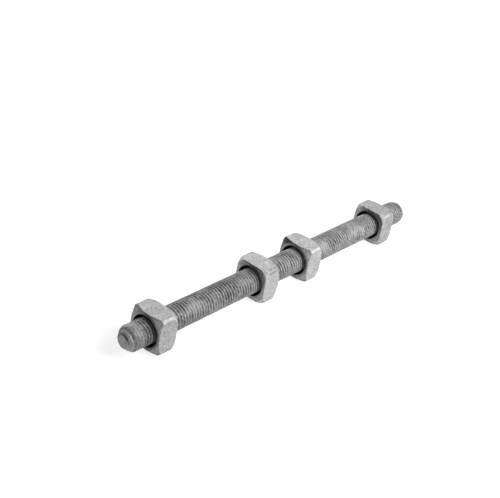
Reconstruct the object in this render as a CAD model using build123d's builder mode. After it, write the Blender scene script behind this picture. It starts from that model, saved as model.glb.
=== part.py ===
from build123d import *
from math import radians, sqrt, tan
import os

# Double arming bolt: a rod threaded over its whole length with four square nuts, two for each
# crossarm that it carries. Hot-dip galvanised steel, 3/4 in thread, 12 in long.
# Millimetres. +X runs along the rod from the pointed end to the plain end, +Z is up with every
# nut lying on a flat, and the origin is the middle of the rod on its axis.

IN = 25.4

# Rod
rod_length = 12 * IN
thread_diameter = 0.75 * IN        # over the crests; the fine thread itself is not cut
thread_pitch = IN / 10
point_turns = 2.0                  # the semi-cone point runs out over this many threads
point_rim_diameter = 10.4          # the small end of the point, cut off flat
point_edge_radius = 0.6
plain_end_turns = 1.7              # the other end has only a chamfer
plain_end_diameter = 16.8
plain_end_edge_radius = 0.8

# Square nut
nut_across_flats = 28.15
nut_thickness = 15.75
nut_corner_radius = 2.9
crown_angle = 30                   # cone of the crowned side, from the face
crown_circle = nut_across_flats    # it starts where it touches the flats
bearing_angle = 48                 # cone that takes the corners off the bearing side
bearing_circle = 31.8
bearing_edge_radius = 0.7
thread_clearance = 0.075           # radial, between the rod's crests and the nut's bore
mouth_diameter = 23.2              # countersink at each face
mouth_angle = 60

# Spaces along the rod, from the pointed end
point_projection = 19.3            # rod showing beyond the first outer nut
arm_a_space = 86.9                 # between the bearing faces of the first pair
middle_space = 33.1                # between the two pairs, crowned side to crowned side
arm_b_space = 78.6                 # between the bearing faces of the second pair

# Derived places
rod_radius = thread_diameter / 2
rod_start = -rod_length / 2
rod_stop = rod_length / 2
point_length = point_turns * thread_pitch
plain_end_length = plain_end_turns * thread_pitch
bore_radius = rod_radius + thread_clearance

bearing_outer_a = rod_start + point_projection + nut_thickness
bearing_inner_a = bearing_outer_a + arm_a_space
bearing_inner_b = bearing_inner_a + nut_thickness + middle_space + nut_thickness
bearing_outer_b = bearing_inner_b + arm_b_space


def edges_on(solid, x, radius):
    """The circular edges of a turned piece at this place along the rod and of this radius."""
    return [
        e
        for e in solid.edges().filter_by(GeomType.CIRCLE)
        if abs(e.arc_center.X - x) < 1e-3 and abs(e.radius - radius) < 1e-3
    ]


# The rod, turned from one half profile: flat tip, semi-cone point, threaded length, end chamfer
with BuildPart() as stud:
    with BuildSketch(Plane.XZ) as half_profile:
        with BuildLine():
            Polyline(
                (rod_start, 0),
                (rod_start, point_rim_diameter / 2),
                (rod_start + point_length, rod_radius),
                (rod_stop - plain_end_length, rod_radius),
                (rod_stop, plain_end_diameter / 2),
                (rod_stop, 0),
                close=True,
            )
        make_face()
    revolve(axis=Axis.X)
    fillet(edges_on(stud.part, rod_start, point_rim_diameter / 2), point_edge_radius)
    fillet(edges_on(stud.part, rod_stop, plain_end_diameter / 2), plain_end_edge_radius)
stud.part.label = "stud"


def square_nut(bearing_x, crown):
    """Square nut, flat bearing face at bearing_x, crowned side towards crown (+1 or -1 along X)."""
    seat = Plane(origin=(bearing_x, 0, 0), x_dir=(0, 1, 0), z_dir=(crown, 0, 0))
    section = Plane(origin=seat.origin, x_dir=seat.x_dir, z_dir=-seat.y_dir)
    with BuildPart() as nut:
        # Blank of square bar, its bearing face resting on the seat plane
        with BuildSketch(seat):
            Rectangle(nut_across_flats, nut_across_flats)
        extrude(amount=nut_thickness)
        fillet(nut.edges().filter_by(Axis.X), nut_corner_radius)
        bearing_face = nut.faces().filter_by(Axis.X).sort_by(Axis.X)[0 if crown > 0 else -1]
        fillet(bearing_face.edges(), bearing_edge_radius)

        # Both sides turned: a crown that leaves an arch on each flat, and a bearing side
        # with its corners taken off
        reach = nut_across_flats / sqrt(2)
        crown_drop = (reach - crown_circle / 2) * tan(radians(crown_angle))
        bearing_drop = (reach - bearing_circle / 2) * tan(radians(bearing_angle))
        with BuildSketch(section) as turned_profile:
            with BuildLine():
                Polyline(
                    (0, 0),
                    (bearing_circle / 2, 0),
                    (reach, bearing_drop),
                    (reach, nut_thickness - crown_drop),
                    (crown_circle / 2, nut_thickness),
                    (0, nut_thickness),
                    close=True,
                )
            make_face()
            fillet(turned_profile.vertices().group_by(Axis.Y)[0].sort_by(Axis.X)[-1], bearing_edge_radius)
        revolve(axis=Axis(seat.origin, seat.z_dir), mode=Mode.INTERSECT)

        # Bore over the rod's crests, countersunk from both faces
        with Locations(Plane(seat.origin, seat.x_dir, -seat.z_dir), seat.offset(nut_thickness)):
            CounterSinkHole(bore_radius, mouth_diameter / 2, counter_sink_angle=mouth_angle)
    return nut


outer_nut_a = square_nut(bearing_outer_a, -1)
outer_nut_a.part.label = "outer_nut_a"

inner_nut_a = square_nut(bearing_inner_a, 1)
inner_nut_a.part.label = "inner_nut_a"

inner_nut_b = square_nut(bearing_inner_b, -1)
inner_nut_b.part.label = "inner_nut_b"

outer_nut_b = square_nut(bearing_outer_b, 1)
outer_nut_b.part.label = "outer_nut_b"

os.makedirs("parts", exist_ok=True)
for piece in (stud, outer_nut_a, inner_nut_a, inner_nut_b, outer_nut_b):
    export_step(piece.part, "parts/" + piece.part.label + ".step")
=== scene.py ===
import bpy
import bmesh
from math import atan2, cos, exp, floor, hypot, pi, radians, sin, sqrt
from mathutils import Matrix, Vector, noise


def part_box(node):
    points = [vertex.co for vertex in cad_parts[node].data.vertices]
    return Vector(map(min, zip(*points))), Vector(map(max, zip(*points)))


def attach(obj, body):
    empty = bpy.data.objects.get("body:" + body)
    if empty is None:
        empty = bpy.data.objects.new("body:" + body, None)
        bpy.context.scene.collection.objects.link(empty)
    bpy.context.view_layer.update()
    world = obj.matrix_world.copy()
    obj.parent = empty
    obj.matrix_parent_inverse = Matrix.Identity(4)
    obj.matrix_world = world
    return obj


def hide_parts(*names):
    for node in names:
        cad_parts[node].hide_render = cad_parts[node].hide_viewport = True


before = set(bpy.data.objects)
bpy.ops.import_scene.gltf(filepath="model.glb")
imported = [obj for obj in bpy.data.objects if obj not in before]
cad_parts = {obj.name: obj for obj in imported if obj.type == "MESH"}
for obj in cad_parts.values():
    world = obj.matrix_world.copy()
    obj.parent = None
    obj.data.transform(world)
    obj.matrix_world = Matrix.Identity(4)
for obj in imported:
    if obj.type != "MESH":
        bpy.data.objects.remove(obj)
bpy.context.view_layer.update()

# ---------------------------------------------------------------- the threaded rod
# Round bar of mild steel, 3/4 in thick and 12 in long, with a thread rolled over its whole length,
# the semi-cone point at one end included; the other end has a plain chamfer. Hot-dip galvanised
# after threading, so the zinc rounds the crests and partly fills the roots.
rod_low, rod_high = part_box("stud")
rod_start, rod_stop = rod_low.x, rod_high.x
rod_steps = 60
rod_angles = [2 * pi * i / rod_steps for i in range(rod_steps)]

crest_radius = 0.009525
pitch = 0.00254
root_depth = 0.00136
# One turn of the thread along the rod: share of the pitch from a crest, depth below it
thread_form = (
    (-0.11, 0.00014), (-0.05, 0.0), (0.05, 0.0), (0.11, 0.00014), (0.24, 0.00078),
    (0.35, 0.00120), (0.44, root_depth), (0.56, root_depth), (0.65, 0.00120), (0.76, 0.00078),
)
form_start = thread_form[0][0]
# Share of a turn that the thread is turned by, so that a groove runs out in the tip
thread_start = 0.5

# Each end: radius of its rim, how fast it widens inwards, rounding of the rim
point_end = (0.0052, 0.8514, 0.0005)
plain_end = (0.0084, 0.2605, 0.0008)
# Last rings of each rim, distances in from the end
point_rim_rings = (0.00012, 0.00004, 0.0)
plain_rim_rings = (0.00009, 0.00003, 0.0)

# Share of the groove that the zinc leaves open: middle value, least and most
open_share, least_open, most_open = 0.66, 0.2, 0.95
# How the open share wanders: height, size along the surface, shift of the pattern
open_wander = ((0.42, 0.011, Vector((3.1, 7.7, 1.9))), (0.22, 0.0035, Vector((0, 0, 0))))
# Zinc that has filled the groove near the point: distance in from the tip, half width, share lost
point_fills = ((0.0085, 0.0032, 0.5), (0.0013, 0.0009, 0.6))
side_fill, side_fill_angle = (0.0038, 0.0012, 0.45), radians(200)
# ... and a little more of it towards the plain end: where it begins, over what length, share lost
far_fill = (0.03, 0.02, 0.12)
# Neck behind the tip's rim: distance in, half width, depth, and the side where it is deepest
neck, neck_angle = (0.0005, 0.00033, 0.0009), radians(100)
# Uneven zinc on the rod: size along the surface, depth
rod_lumps = ((0.0022, 0.00010), (0.007, 0.00012))

# Darker zinc. The stub beyond the first nut, but not the point itself, is darker all round and
# most of all on its -Y side; the first half of the rod has painted shade on top, where less light
# falls, and the plain end is darker all round.
stub_stop, stub_fade, clean_point, point_fade = -0.129, 0.008, 0.003, 0.003
stub_darkening, stub_side_darkening = 0.16, 0.28
top_painted_shade, top_on_stub_lost, top_fade = 0.22, 0.7, 0.04
plain_end_darkening, plain_end_darkening_start, plain_end_darkening_fade = 0.16, 0.125, 0.005
# Painted shade in the grooves, uneven like dirt: how unevenly it lies, and over what size
groove_shade_wander, groove_shade_size = 0.9, 0.0019
# Painted shadow on the rod in the mouth of each nut where it rests: how far inside the nut's face,
# half width, strength
nut_ends = [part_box(node) for node in ("outer_nut_a", "inner_nut_a", "inner_nut_b", "outer_nut_b")]
nut_mouth_shadow_inside, nut_mouth_shadow_width, nut_mouth_shadow_strength = 0.0010, 0.0014, 0.5
nut_mouth_shadow_places = [low.x + nut_mouth_shadow_inside for low, high in nut_ends]
nut_mouth_shadow_places += [high.x - nut_mouth_shadow_inside for low, high in nut_ends]


def fade(distance, over):
    """0 up to no distance at all, 1 from the full distance on."""
    return min(1.0, max(0.0, distance / over))


def hump(distance, half_width, power=2):
    """1 at no distance, falling off to both sides."""
    return exp(-((distance / half_width) ** power))


def crest_point(x, angle):
    """Point at the crests' radius, where the zinc's patterns are looked up."""
    return Vector((x, crest_radius * cos(angle), crest_radius * sin(angle)))


def thread_depth(x, angle):
    """Depth below the crests at a place along the rod and an angle about it."""
    share = (x / pitch - angle / (2 * pi) + thread_start - form_start) % 1.0 + form_start
    points = thread_form + ((1 + form_start, thread_form[0][1]),)
    for (a, low), (b, high) in zip(points, points[1:]):
        if share <= b:
            return low + (high - low) * (share - a) / (b - a)
    return points[-1][1]


def zinc_lumps(place, size, depth):
    """Uneven zinc at a place: never above the clean surface, at most this depth below it."""
    return depth * min(0.0, max(-1.0, noise.noise(place / size) - 0.5))


def end_radius(inward, end):
    """Radius of a pointed or chamfered end, this far in from its face, with its rim rounded."""
    rim, slope, rounding = end
    lean = sqrt(1 + slope * slope)
    centre = rim + slope * rounding - rounding * lean
    if inward < rounding * (1 - slope / lean):
        return centre + sqrt(max(0.0, rounding ** 2 - (rounding - inward) ** 2))
    return rim + slope * inward


def groove_depth(x, angle):
    """Depth of the groove with the zinc that has stayed in it."""
    place, inward = crest_point(x, angle), x - rod_start
    left = open_share
    for height, size, shift in open_wander:
        left += height * noise.noise(place / size + shift)
    for middle, half_width, lost in point_fills:
        left -= lost * hump(inward - middle, half_width)
    middle, half_width, lost = side_fill
    left -= lost * hump(inward - middle, half_width) * max(0.0, cos(angle - side_fill_angle))
    begins, over, lost = far_fill
    left -= lost * fade(x - begins, over)
    left = min(most_open, max(least_open, left))
    middle, half_width, depth = neck
    pressed = depth * hump(inward - middle, half_width) * (0.55 + 0.45 * cos(angle - neck_angle))
    return thread_depth(x, angle) * left + pressed


def rod_shade(x, angle):
    """How dark the rod is: painted shade in its uneven grooves and on its top, darker zinc, painted
    shadow at a nut's mouth.
    """
    stub = fade(stub_stop - x, stub_fade) * fade(x - rod_start - clean_point, point_fade)
    darkening = stub * (stub_darkening + stub_side_darkening * max(0.0, -cos(angle)))
    darkening += top_painted_shade * (1 - top_on_stub_lost * stub) * max(0.0, sin(angle)) * fade(-x, top_fade)
    darkening += plain_end_darkening * fade(x - plain_end_darkening_start, plain_end_darkening_fade)
    nut_mouth_shadow = nut_mouth_shadow_strength * max(hump(x - place, nut_mouth_shadow_width, 4) for place in nut_mouth_shadow_places)
    groove_shade_and_dirt = 1 + groove_shade_wander * noise.noise(crest_point(x, angle) / groove_shade_size)
    return groove_shade_and_dirt * groove_depth(x, angle) / root_depth + darkening + nut_mouth_shadow


def rod_radius(x, angle):
    """Radius of the rod's surface at a place along it and an angle about it."""
    place = crest_point(x, angle)
    blank = min(crest_radius, end_radius(x - rod_start, point_end))
    thread = blank - groove_depth(x, angle)
    thread += sum(zinc_lumps(place, size, depth) for size, depth in rod_lumps)
    return min(thread, end_radius(rod_stop - x, plain_end))


def screw_rows(first, last):
    """Places of a screw surface's rows at angle nought, enough to cover first to last all round."""
    turn = floor(first / pitch) - 2
    places = []
    while turn * pitch < last + 2 * pitch:
        places += [(turn + share - thread_start) * pitch for share, depth in thread_form]
        turn += 1
    return places


def add_screw(mesh, first, last, angles, radius_at, shade_at):
    """Surface that winds along the thread from first to last, and keeps how dark each place is."""
    rows = screw_rows(first, last)
    turn = len(thread_form)
    painted_shade_and_dirt = mesh.verts.layers.float.new("painted_shade_and_dirt")
    grid = []
    for place in rows:
        row = []
        for angle in angles:
            x = min(max(place + pitch * angle / (2 * pi), first), last)
            r = radius_at(x, angle)
            point = mesh.verts.new((x, r * cos(angle), r * sin(angle)))
            point[painted_shade_and_dirt] = shade_at(x, angle)
            row.append(point)
        grid.append(row)
    for m in range(len(rows) - turn - 1):
        for i in range(len(angles)):
            if i + 1 < len(angles):
                corners = (grid[m][i], grid[m][i + 1], grid[m + 1][i + 1], grid[m + 1][i])
            else:
                corners = (grid[m][i], grid[m + turn][0], grid[m + 1 + turn][0], grid[m + 1][i])
            # Rows before first or after last lie flat on one another and need no faces
            xs = [v.co.x for v in corners]
            if max(xs) - min(xs) > 1e-9:
                mesh.faces.new(corners)


def add_ring(mesh, x, radii, angles):
    """Ring of points about the rod's axis."""
    return [mesh.verts.new((x, r * cos(a), r * sin(a))) for r, a in zip(radii, angles)]


def join_rings(mesh, rings):
    """Faces between each ring and the next."""
    for one, two in zip(rings, rings[1:]):
        for i in range(len(one)):
            j = (i + 1) % len(one)
            mesh.faces.new((one[i], one[j], two[j], two[i]))


def close_ring(mesh, x, ring):
    """Fan of faces from a ring to a point on the axis."""
    middle = mesh.verts.new((x, 0, 0))
    for i in range(len(ring)):
        mesh.faces.new((ring[i], ring[(i + 1) % len(ring)], middle))


def finish_piece(mesh, name, materials, sharp_angle):
    """Turns a bmesh into an object with clean normals and its materials."""
    bmesh.ops.remove_doubles(mesh, verts=mesh.verts, dist=2e-6)
    bmesh.ops.dissolve_degenerate(mesh, edges=mesh.edges, dist=1e-6)
    loose = [v for v in mesh.verts if not v.link_faces]
    bmesh.ops.delete(mesh, geom=loose, context="VERTS")
    bmesh.ops.recalc_face_normals(mesh, faces=mesh.faces)
    data = bpy.data.meshes.new(name)
    mesh.to_mesh(data)
    mesh.free()
    for face in data.polygons:
        face.use_smooth = True
    data.set_sharp_from_angle(angle=radians(sharp_angle))
    for material in materials:
        data.materials.append(material)
    piece = bpy.data.objects.new(name, data)
    bpy.context.scene.collection.objects.link(piece)
    return piece


rod_mesh = bmesh.new()
add_screw(
    rod_mesh, rod_start + point_rim_rings[0], rod_stop - plain_rim_rings[0],
    rod_angles, rod_radius, rod_shade)

# The point's sheared end face, a little hollow and rough: share of the rim's radius, how deep
point_rings = []
for inward in point_rim_rings:
    x = rod_start + inward
    point_rings.append(add_ring(rod_mesh, x, [rod_radius(x, a) for a in rod_angles], rod_angles))
for share, sunk in (
    (0.93, 0.00003), (0.8, 0.00012), (0.6, 0.00016), (0.4, 0.00012), (0.2, 0.00016),
):
    radii = [share * rod_radius(rod_start, a) for a in rod_angles]
    point_rings.append(add_ring(rod_mesh, rod_start + sunk, radii, rod_angles))
join_rings(rod_mesh, point_rings)
close_ring(rod_mesh, rod_start + 0.00013, point_rings[-1])

# The plain end: rounded rim and sawn face
plain_rings = []
for inward in plain_rim_rings:
    x = rod_stop - inward
    plain_rings.append(add_ring(rod_mesh, x, [rod_radius(x, a) for a in rod_angles], rod_angles))
for r in (0.0068, 0.0045, 0.0022):
    plain_rings.append(add_ring(rod_mesh, rod_stop, [r] * rod_steps, rod_angles))
join_rings(rod_mesh, plain_rings)
close_ring(rod_mesh, rod_stop, plain_rings[-1])


def add_node(owner, kind, **sockets):
    """New node in a material or world. Plain words set its sockets, words with at_ its settings."""
    new = owner.node_tree.nodes.new(kind)
    for name, value in sockets.items():
        if name.startswith("at_"):
            setattr(new, name[3:], value)
        else:
            new.inputs[name.replace("_", " ")].default_value = value
    return new


def tone_ramp(material, source, stops):
    """Colour ramp fed from a source, with two or more stops of (place, grey)."""
    ramp = add_node(material, "ShaderNodeValToRGB")
    while len(ramp.color_ramp.elements) < len(stops):
        ramp.color_ramp.elements.new(0.5)
    for element, (place, tone) in zip(ramp.color_ramp.elements, stops):
        element.position = place
        element.color = (tone, tone, tone, 1)
    material.node_tree.links.new(source, ramp.inputs["Fac"])
    return ramp.outputs["Color"]


def multiply_tones(material, one, two, share):
    """Two colours multiplied, the second one in this share."""
    mix = add_node(material, "ShaderNodeMix", at_data_type="RGBA", at_blend_type="MULTIPLY")
    mix.inputs[0].default_value = share
    material.node_tree.links.new(one, mix.inputs[6])
    material.node_tree.links.new(two, mix.inputs[7])
    return mix.outputs[2]


def zinc_coat(name, dark_zinc, light_zinc, metal, dull, grain, shaded, shades):
    """Dull hot-dip zinc: clouds, spangle, pits and fine grain, toned by what the mesh keeps,
    painted light and shade among it.
    """
    material = bpy.data.materials.new(name)
    material.use_nodes = True
    links = material.node_tree.links
    shader = material.node_tree.nodes["Principled BSDF"]
    shader.inputs["Metallic"].default_value = metal
    shader.inputs["IOR"].default_value = 1.5
    place = add_node(material, "ShaderNodeTexCoord").outputs["Object"]

    def cloud(scale, detail, rough):
        """Noise that is fixed to the piece."""
        new = add_node(
            material, "ShaderNodeTexNoise", Scale=scale, Detail=detail, Roughness=rough)
        links.new(place, new.inputs["Vector"])
        return new.outputs["Fac"]

    clouds = cloud(230, 5, 0.62)
    spangle = add_node(material, "ShaderNodeTexVoronoi", Scale=620)
    links.new(place, spangle.inputs["Vector"])
    kept = add_node(material, "ShaderNodeAttribute", at_attribute_name=shaded)

    # Broad clouds first; then spangle, mottle, pits and the mesh's own tones, with their painted
    # light and shade, darken them
    colour = tone_ramp(material, clouds, ((0.28, dark_zinc), (0.72, light_zinc)))
    for source, stops, share in (
        (spangle.outputs["Color"], ((0.0, 0.74), (1.0, 1.0)), 1.0),
        (cloud(850, 4, 0.75), ((0.36, 0.46), (0.60, 1.0)), 1.0),
        (cloud(1500, 2, 0.5), ((0.28, 0.45), (0.38, 1.0)), 0.55),
        (kept.outputs["Fac"], shades, 1.0),
    ):
        colour = multiply_tones(material, colour, tone_ramp(material, source, stops), share)
    links.new(colour, shader.inputs["Base Color"])

    wear = add_node(
        material, "ShaderNodeMapRange", From_Min=0.3, From_Max=0.7, To_Min=dull, To_Max=dull + 0.18)
    links.new(clouds, wear.inputs["Value"])
    links.new(wear.outputs["Result"], shader.inputs["Roughness"])

    lumps = add_node(material, "ShaderNodeBump", Strength=0.5, Distance=0.00012)
    links.new(cloud(520, 3, 0.55), lumps.inputs["Height"])
    fine = add_node(material, "ShaderNodeBump", Strength=grain, Distance=0.00003)
    links.new(cloud(2600, 3, 0.6), fine.inputs["Height"])
    links.new(lumps.outputs["Normal"], fine.inputs["Normal"])
    links.new(fine.outputs["Normal"], shader.inputs["Normal"])
    return material


# Its tones: painted shade in the grooves and on the top, darker zinc, painted shadow at the nuts'
# mouths
rod_zinc = zinc_coat(
    "rod_zinc", dark_zinc=0.41, light_zinc=0.63, metal=0.2, dull=0.52, grain=0.5,
    shaded="painted_shade_and_dirt", shades=((0.0, 1.0), (0.3, 0.74), (1.0, 0.14)))
rod = finish_piece(rod_mesh, "threaded_rod", [rod_zinc], 60)
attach(rod, "stud")
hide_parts("stud")

# ---------------------------------------------------------------- the four square nuts
# Square nuts pressed from steel bar, 1-1/8 in across the flats. One side is crowned, the other is a
# flat bearing face. Galvanised before they are tapped, so the outside is pale zinc and the
# countersunk, oversize thread inside is bare dark steel, painted near black as shade for the deep
# mouth. The zinc has painted highlights on its corners and painted shade on faces, cones and
# arches.
half_across = 0.014075
nut_thick = 0.01575
# Columns of points to each side of the middle of a flat
flat_columns = 6
# A corner bulges gently between two creases, where it turns into the flats
corner_start = 0.00253
crease_round, crease_turn, bulge_round = 0.0012, radians(22), 0.0036
# Half of a corner: how far it has turned in degrees, and its tone: painted dark reflection at the
# crease, painted highlight on the bulge
corner_turns_and_highlights = ((0, 0.92), (11, 0.62), (22, 1.1), (30, 1.2), (38, 1.2), (45, 1.2))
# Each side: circle where its cone begins, the cone's lean from the face, rounding of its edges at
# the flats and how it grows towards the corners
crown_side = (half_across, radians(30), 0.0005, 0.12)
bearing_side = (0.0159, radians(48), 0.0003, 0.3)
# Steps in the rounding from the flank to the cone, and in the one from the cone to the face
flank_turn_steps, face_turn_steps = 4, 3
cone_start = flank_turn_steps
last_point = flank_turn_steps + face_turn_steps + 1
# Rings between the bearing side and the crown
flank_steps = 6
# Painted shade: the crown's arches are darker on two of the flats
arch_shade_patches = ((85, 0.75), (260, 0.6))
# Painted highlight on the bearing side's coned corners
bearing_cone_highlight = 1.2
mouth_radius, mouth_slope = 0.0116, 0.577
# The thread in the nut: room to the rod's crests, and how much of the thread's depth it reaches in
tap_clearance, tap_share = 0.00015, 0.2
# Rings of a flat face: shares of the way from the mouth to the edge
face_shares = (0.0, 0.25, 0.5, 0.75, 0.95)
# Uneven zinc on a nut and how its tone wanders: size along the surface, amount
nut_lump, nut_tone_wander = (0.006, 0.00016), (0.005, 0.12)


def nut_outline():
    """Round the outside of a nut, its flats and corners: angle, radius, and tone with the corners'
    painted highlights.
    """
    flat = half_across - corner_start
    side = [
        (half_across, flat * k / (flat_columns + 0.5), 1.0)
        for k in range(-flat_columns, flat_columns + 1)
    ]
    corner = []
    for turned, tone in corner_turns_and_highlights:
        turned = radians(turned)
        one, two = min(turned, crease_turn), max(turned, crease_turn)
        fall = crease_round * (1 - cos(one)) + bulge_round * (cos(crease_turn) - cos(two))
        run = crease_round * sin(one) + bulge_round * (sin(two) - sin(crease_turn))
        corner.append((half_across - fall, flat + run, tone))
    side += corner + [(z, y, tone) for y, z, tone in corner[-2::-1]]
    points = []
    for quarter in range(4):
        turn = quarter * pi / 2
        for y, z, tone in side:
            y, z = y * cos(turn) - z * sin(turn), y * sin(turn) + z * cos(turn)
            points.append((atan2(z, y) % (2 * pi), hypot(y, z), tone))
    return sorted(points)


def edge_profile(r, side):
    """Points (radius, distance below the face) from the flank over a cone and two roundings."""
    circle, lean, least, growth = side
    rounding = least + growth * (r - half_across)
    drop = (rounding + sin(lean) * (r - rounding - circle)) / cos(lean)
    flank = (r - rounding, max(rounding, drop))
    top = (min(r - rounding, circle - rounding * (1 - cos(lean)) / sin(lean)), rounding)
    turn = pi / 2 - lean
    turns = [(flank, turn * k / flank_turn_steps) for k in range(flank_turn_steps + 1)]
    turns += [(top, turn + lean * k / face_turn_steps) for k in range(face_turn_steps + 1)]
    return [(c[0] + rounding * cos(t), c[1] - rounding * sin(t)) for c, t in turns]


def patch_tone(angle, patches):
    """Painted light and shade at an angle, with patches of (middle in degrees, share lost)."""
    kept = 1.0
    for towards, lost in patches:
        kept *= 1 - lost * max(0.0, cos(angle - radians(towards))) ** 4
    return kept


def add_square_nut(name, node, crown, shine, corner_highlight, mouth_shade, face_light_and_shade, cone_shade_patches):
    """One nut, its crown towards +1 or -1 along the rod, with the shine of its zinc and its painted
    light and shade.
    """
    mesh = bmesh.new()
    node_low, node_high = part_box(node)
    seat = node_high.x if crown < 0 else node_low.x
    low, high = sorted((seat, seat + crown * nut_thick))
    outline = nut_outline()
    angles = [angle for angle, r, tone in outline]

    def tapped(x, angle):
        """Thread in the nut, in step with the rod's and clear of it, countersunk at both faces."""
        thread = crest_radius + tap_clearance - tap_share * thread_depth(x, angle)
        return max(thread, mouth_radius - mouth_slope * min(x - low, high - x))

    def tapped_shade(x, angle):
        """Painted shade: the thread's roots in the nut are darker than its crests."""
        return thread_depth(x, angle) / root_depth

    add_screw(mesh, low, high, angles, tapped, tapped_shade)
    # Tone of the zinc with painted highlights on the corners and painted shade on faces, cones and
    # arches
    painted_light_and_stain = mesh.verts.layers.float.new("painted_light_and_stain")
    face_painted_tones = [patch_tone(a, face_light_and_shade) for a in angles]
    cone_shade_tones = [patch_tone(a, cone_shade_patches) for a in angles]
    arch_shade_tones = [patch_tone(a, arch_shade_patches) for a in angles]
    flank_highlight_tones = [min(tone, corner_highlight) if tone > 1 else tone for angle, r, tone in outline]
    seats = [edge_profile(r, bearing_side) for angle, r, tone in outline]
    crowns = [edge_profile(r, crown_side) for angle, r, tone in outline]
    rings = []

    def add_outside(radii, heights, tones):
        """Next ring of the outside: its radii, heights above the bearing face and tones."""
        ring = []
        for r, height, a, tone in zip(radii, heights, angles, tones):
            place = Vector((seat + crown * height, r * cos(a), r * sin(a)))
            if r > mouth_radius:
                r += zinc_lumps(place, *nut_lump)
            point = mesh.verts.new((place.x, r * cos(a), r * sin(a)))
            size, wander = nut_tone_wander
            point[painted_light_and_stain] = shine * (tone + wander * noise.noise(place / size))
            ring.append(point)
        rings.append(ring)

    def add_face_ring(share, edges, height, edge_tones):
        """Ring on a flat face, a share of the way from its mouth to its edge, with painted shade
        inside.
        """
        shaded_share, towards = mouth_shade
        radii = [mouth_radius + (edge[-1][0] - mouth_radius) * share for edge in edges]
        tones = []
        for a, tone, edge_tone in zip(angles, face_painted_tones, edge_tones):
            unshaded = 1 - shaded_share * (1 - share) * (0.5 + 0.5 * cos(a - radians(towards)))
            tones.append(tone * unshaded * (edge_tone if share > 0.7 else 1))
        add_outside(radii, [height] * len(angles), tones)

    # Bearing face from its mouth outwards
    for share in face_shares:
        add_face_ring(share, seats, 0.0, [1] * len(angles))

    # Its rounded edge and coned corners
    for k in range(last_point, -1, -1):
        tones = []
        for face_tone, flank_tone, (angle, r, tone) in zip(face_painted_tones, flank_highlight_tones, outline):
            if k > cone_start + 1:
                tones.append(face_tone)
            elif k > 1 and r > bearing_side[0]:
                tones.append(bearing_cone_highlight)
            else:
                tones.append(flank_tone)
        add_outside([p[k][0] for p in seats], [p[k][1] for p in seats], tones)

    # Flats and corners
    for k in range(1, flank_steps):
        heights = []
        for p, q in zip(seats, crowns):
            heights.append(p[0][1] + (nut_thick - q[0][1] - p[0][1]) * k / flank_steps)
        add_outside([r for angle, r, tone in outline], heights, flank_highlight_tones)

    # Crown: its arched edge, its cone with two more rings just inside the arch, and its flat face
    for k in range(last_point + 1):
        if k < cone_start - 1:
            tones = flank_highlight_tones
        elif k <= cone_start:
            tones = [c * e for c, e in zip(cone_shade_tones, arch_shade_tones)]
        else:
            tones = cone_shade_tones
        add_outside([q[k][0] for q in crowns], [nut_thick - q[k][1] for q in crowns], tones)
        if k == cone_start:
            for share, arch_share in ((0.15, 1.0), (0.4, 0.5)):
                add_outside(
                    [q[k][0] + (q[k + 1][0] - q[k][0]) * share for q in crowns],
                    [nut_thick - q[k][1] - (q[k + 1][1] - q[k][1]) * share for q in crowns],
                    [c * (1 - arch_share * (1 - e)) for c, e in zip(cone_shade_tones, arch_shade_tones)])
    for share in reversed(face_shares):
        add_face_ring(share, crowns, nut_thick, [0.4 + 0.6 * e for e in arch_shade_tones])
    join_rings(mesh, rings)

    nut = finish_piece(mesh, name, [nut_zinc, shaded_tapped_steel], 38)
    points = nut.data.vertices
    for face in nut.data.polygons:
        if all(hypot(points[v].co.y, points[v].co.z) < mouth_radius + 1e-5 for v in face.vertices):
            face.material_index = 1
    even = nut.modifiers.new("even_faces", "WEIGHTED_NORMAL")
    even.keep_sharp = True
    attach(nut, node)
    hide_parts(node)


nut_zinc = zinc_coat(
    "nut_zinc", dark_zinc=0.62, light_zinc=0.90, metal=0.3, dull=0.48, grain=0.4,
    shaded="painted_light_and_stain", shades=((0.0, 0.0), (1.0, 1.0)))
# Near black: bare steel, with painted shade for the deep mouths of the nuts
shaded_tapped_steel = zinc_coat(
    "shaded_tapped_steel", dark_zinc=0.006, light_zinc=0.014, metal=0.0, dull=0.6, grain=0.5,
    shaded="painted_shade_and_dirt", shades=((0.0, 1.0), (1.0, 0.5)))
shaded_tapped_steel.node_tree.nodes["Principled BSDF"].inputs["Specular IOR Level"].default_value = 0.06

# Painted shade at the mouth: how much of the shine goes there, and towards which angle. The patches
# paint light and shade; a patch with a share lost below nought is brighter than the rest.
add_square_nut(
    "outer_square_nut_a", "outer_nut_a", crown=-1, shine=0.70, corner_highlight=1.05,
    mouth_shade=(1.0, 215), face_light_and_shade=((90, 0.5), (25, -0.35)), cone_shade_patches=((85, 0.3),))
add_square_nut(
    "inner_square_nut_a", "inner_nut_a", crown=1, shine=0.83, corner_highlight=0.60,
    mouth_shade=(0.3, 120), face_light_and_shade=((90, 0.7), (150, 0.35), (20, -0.4)), cone_shade_patches=((45, 0.3),))
add_square_nut(
    "inner_square_nut_b", "inner_nut_b", crown=-1, shine=0.81, corner_highlight=1.03,
    mouth_shade=(0.5, 165), face_light_and_shade=((165, 0.45), (95, 0.4), (20, -0.6)), cone_shade_patches=((58, 0.97),))
add_square_nut(
    "outer_square_nut_b", "outer_nut_b", crown=1, shine=0.67, corner_highlight=0.98,
    mouth_shade=(0.2, 120), face_light_and_shade=((95, 0.65), (150, 0.45), (20, -0.9)), cone_shade_patches=((45, 0.3),))

# ---------------------------------------------------------------- floor, light and camera
# A plain pale studio floor that the nuts lie on, one large soft lamp high in front, a weak one low
# behind, and an even pale surround.
bpy.context.scene.view_settings.view_transform = "Standard"


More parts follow.
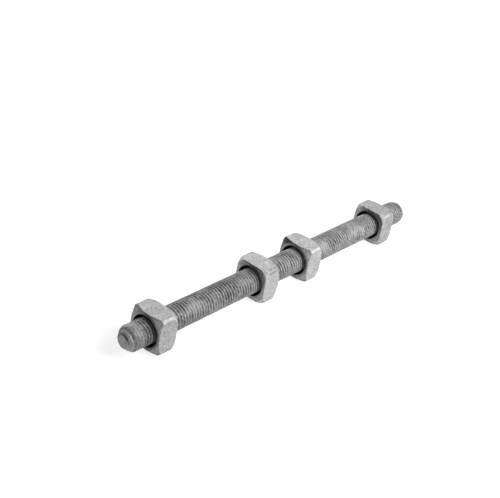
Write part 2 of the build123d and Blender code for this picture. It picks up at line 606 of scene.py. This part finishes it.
def seen_directly(owner):
    """1 for what is seen straight or in a shiny or clear surface, 0 for what lights the part."""
    ray = add_node(owner, "ShaderNodeLightPath")
    seen = ray.outputs["Is Camera Ray"]
    for kind in ("Is Glossy Ray", "Is Transmission Ray"):
        either = add_node(owner, "ShaderNodeMath", at_operation="MAXIMUM")
        owner.node_tree.links.new(seen, either.inputs[0])
        owner.node_tree.links.new(ray.outputs[kind], either.inputs[1])
        seen = either.outputs[0]
    return seen


floor_gap, floor_size = 0.00002, 8
bounced, painted, ambient = 0.88, 0.35, 0.08
floor_mesh = bmesh.new()
bmesh.ops.create_grid(floor_mesh, x_segments=1, y_segments=1, size=floor_size)
floor_data = bpy.data.meshes.new("studio_floor")
floor_mesh.to_mesh(floor_data)
floor_mesh.free()
studio_floor = bpy.data.objects.new("studio_floor", floor_data)
studio_floor.location = (0, 0, -half_across - floor_gap)
bpy.context.scene.collection.objects.link(studio_floor)

# The floor reflects light as pale card does. What is seen of it is plain white away from the part,
# and near the part it keeps the shadow.
pale = bpy.data.materials.new("pale_floor")
pale.use_nodes = True
pale.node_tree.nodes.clear()
pale_out = add_node(pale, "ShaderNodeOutputMaterial")
bounce = add_node(pale, "ShaderNodeBsdfDiffuse", Color=(bounced, bounced, bounced, 1))
paint = add_node(pale, "ShaderNodeBsdfDiffuse", Color=(painted, painted, painted, 1))
glow = add_node(pale, "ShaderNodeEmission", Color=(1, 1, 1, 1))
floor_place = add_node(pale, "ShaderNodeTexCoord")
away = add_node(pale, "ShaderNodeVectorMath", at_operation="LENGTH")
brighter = add_node(
    pale, "ShaderNodeMapRange", From_Min=0.20, From_Max=0.60, To_Min=0.80, To_Max=1.0)
shown = add_node(pale, "ShaderNodeAddShader")
choose = add_node(pale, "ShaderNodeMixShader")
for start, end in (
    (floor_place.outputs["Object"], away.inputs[0]),
    (away.outputs["Value"], brighter.inputs["Value"]),
    (brighter.outputs["Result"], glow.inputs["Strength"]),
    (paint.outputs[0], shown.inputs[0]),
    (glow.outputs[0], shown.inputs[1]),
    (seen_directly(pale), choose.inputs[0]),
    (bounce.outputs[0], choose.inputs[1]),
    (shown.outputs[0], choose.inputs[2]),
    (choose.outputs[0], pale_out.inputs["Surface"]),
):
    pale.node_tree.links.new(start, end)
floor_data.materials.append(pale)

surround = bpy.data.worlds.new("studio_surround")
surround.use_nodes = True
bpy.context.scene.world = surround
sky = surround.node_tree.nodes["Background"]
sky.inputs["Color"].default_value = (1, 1, 1, 1)
sky_level = add_node(surround, "ShaderNodeMapRange", To_Min=ambient, To_Max=1.0)
surround.node_tree.links.new(seen_directly(surround), sky_level.inputs["Value"])
surround.node_tree.links.new(sky_level.outputs["Result"], sky.inputs["Strength"])


def add_soft_lamp(name, place, size, power):
    """Square soft lamp that points at the middle of the rod."""
    data = bpy.data.lights.new(name, "AREA")
    data.shape = "SQUARE"
    data.size = size
    data.energy = power
    lamp = bpy.data.objects.new(name, data)
    lamp.location = place
    lamp.rotation_mode = "QUATERNION"
    lamp.rotation_quaternion = Vector(place).to_track_quat("Z", "Y")
    bpy.context.scene.collection.objects.link(lamp)


add_soft_lamp("key_softbox", (0.36, -0.72, 0.80), size=0.8, power=18)
add_soft_lamp("back_softbox", (0.25, 0.90, 0.35), size=0.6, power=5)

camera_place = (-0.52553, -0.37206, 0.39818)
look_azimuth, look_elevation, look_roll = radians(-52.72), radians(30.98), radians(10.05)
back = Vector((
    sin(look_azimuth) * cos(look_elevation),
    -cos(look_azimuth) * cos(look_elevation),
    sin(look_elevation),
))
level = Vector((cos(look_azimuth), sin(look_azimuth), 0))
above = back.cross(level)
right = level * cos(look_roll) + above * sin(look_roll)
up = above * cos(look_roll) - level * sin(look_roll)
camera_data = bpy.data.cameras.new("studio_camera")
camera_data.sensor_width = 36
camera_data.lens = 73.53
camera_data.clip_start, camera_data.clip_end = 0.01, 30
camera = bpy.data.objects.new("studio_camera", camera_data)
camera.matrix_world = Matrix((
    (right.x, up.x, back.x, camera_place[0]),
    (right.y, up.y, back.y, camera_place[1]),
    (right.z, up.z, back.z, camera_place[2]),
    (0, 0, 0, 1),
))
bpy.context.scene.collection.objects.link(camera)
bpy.context.scene.camera = camera
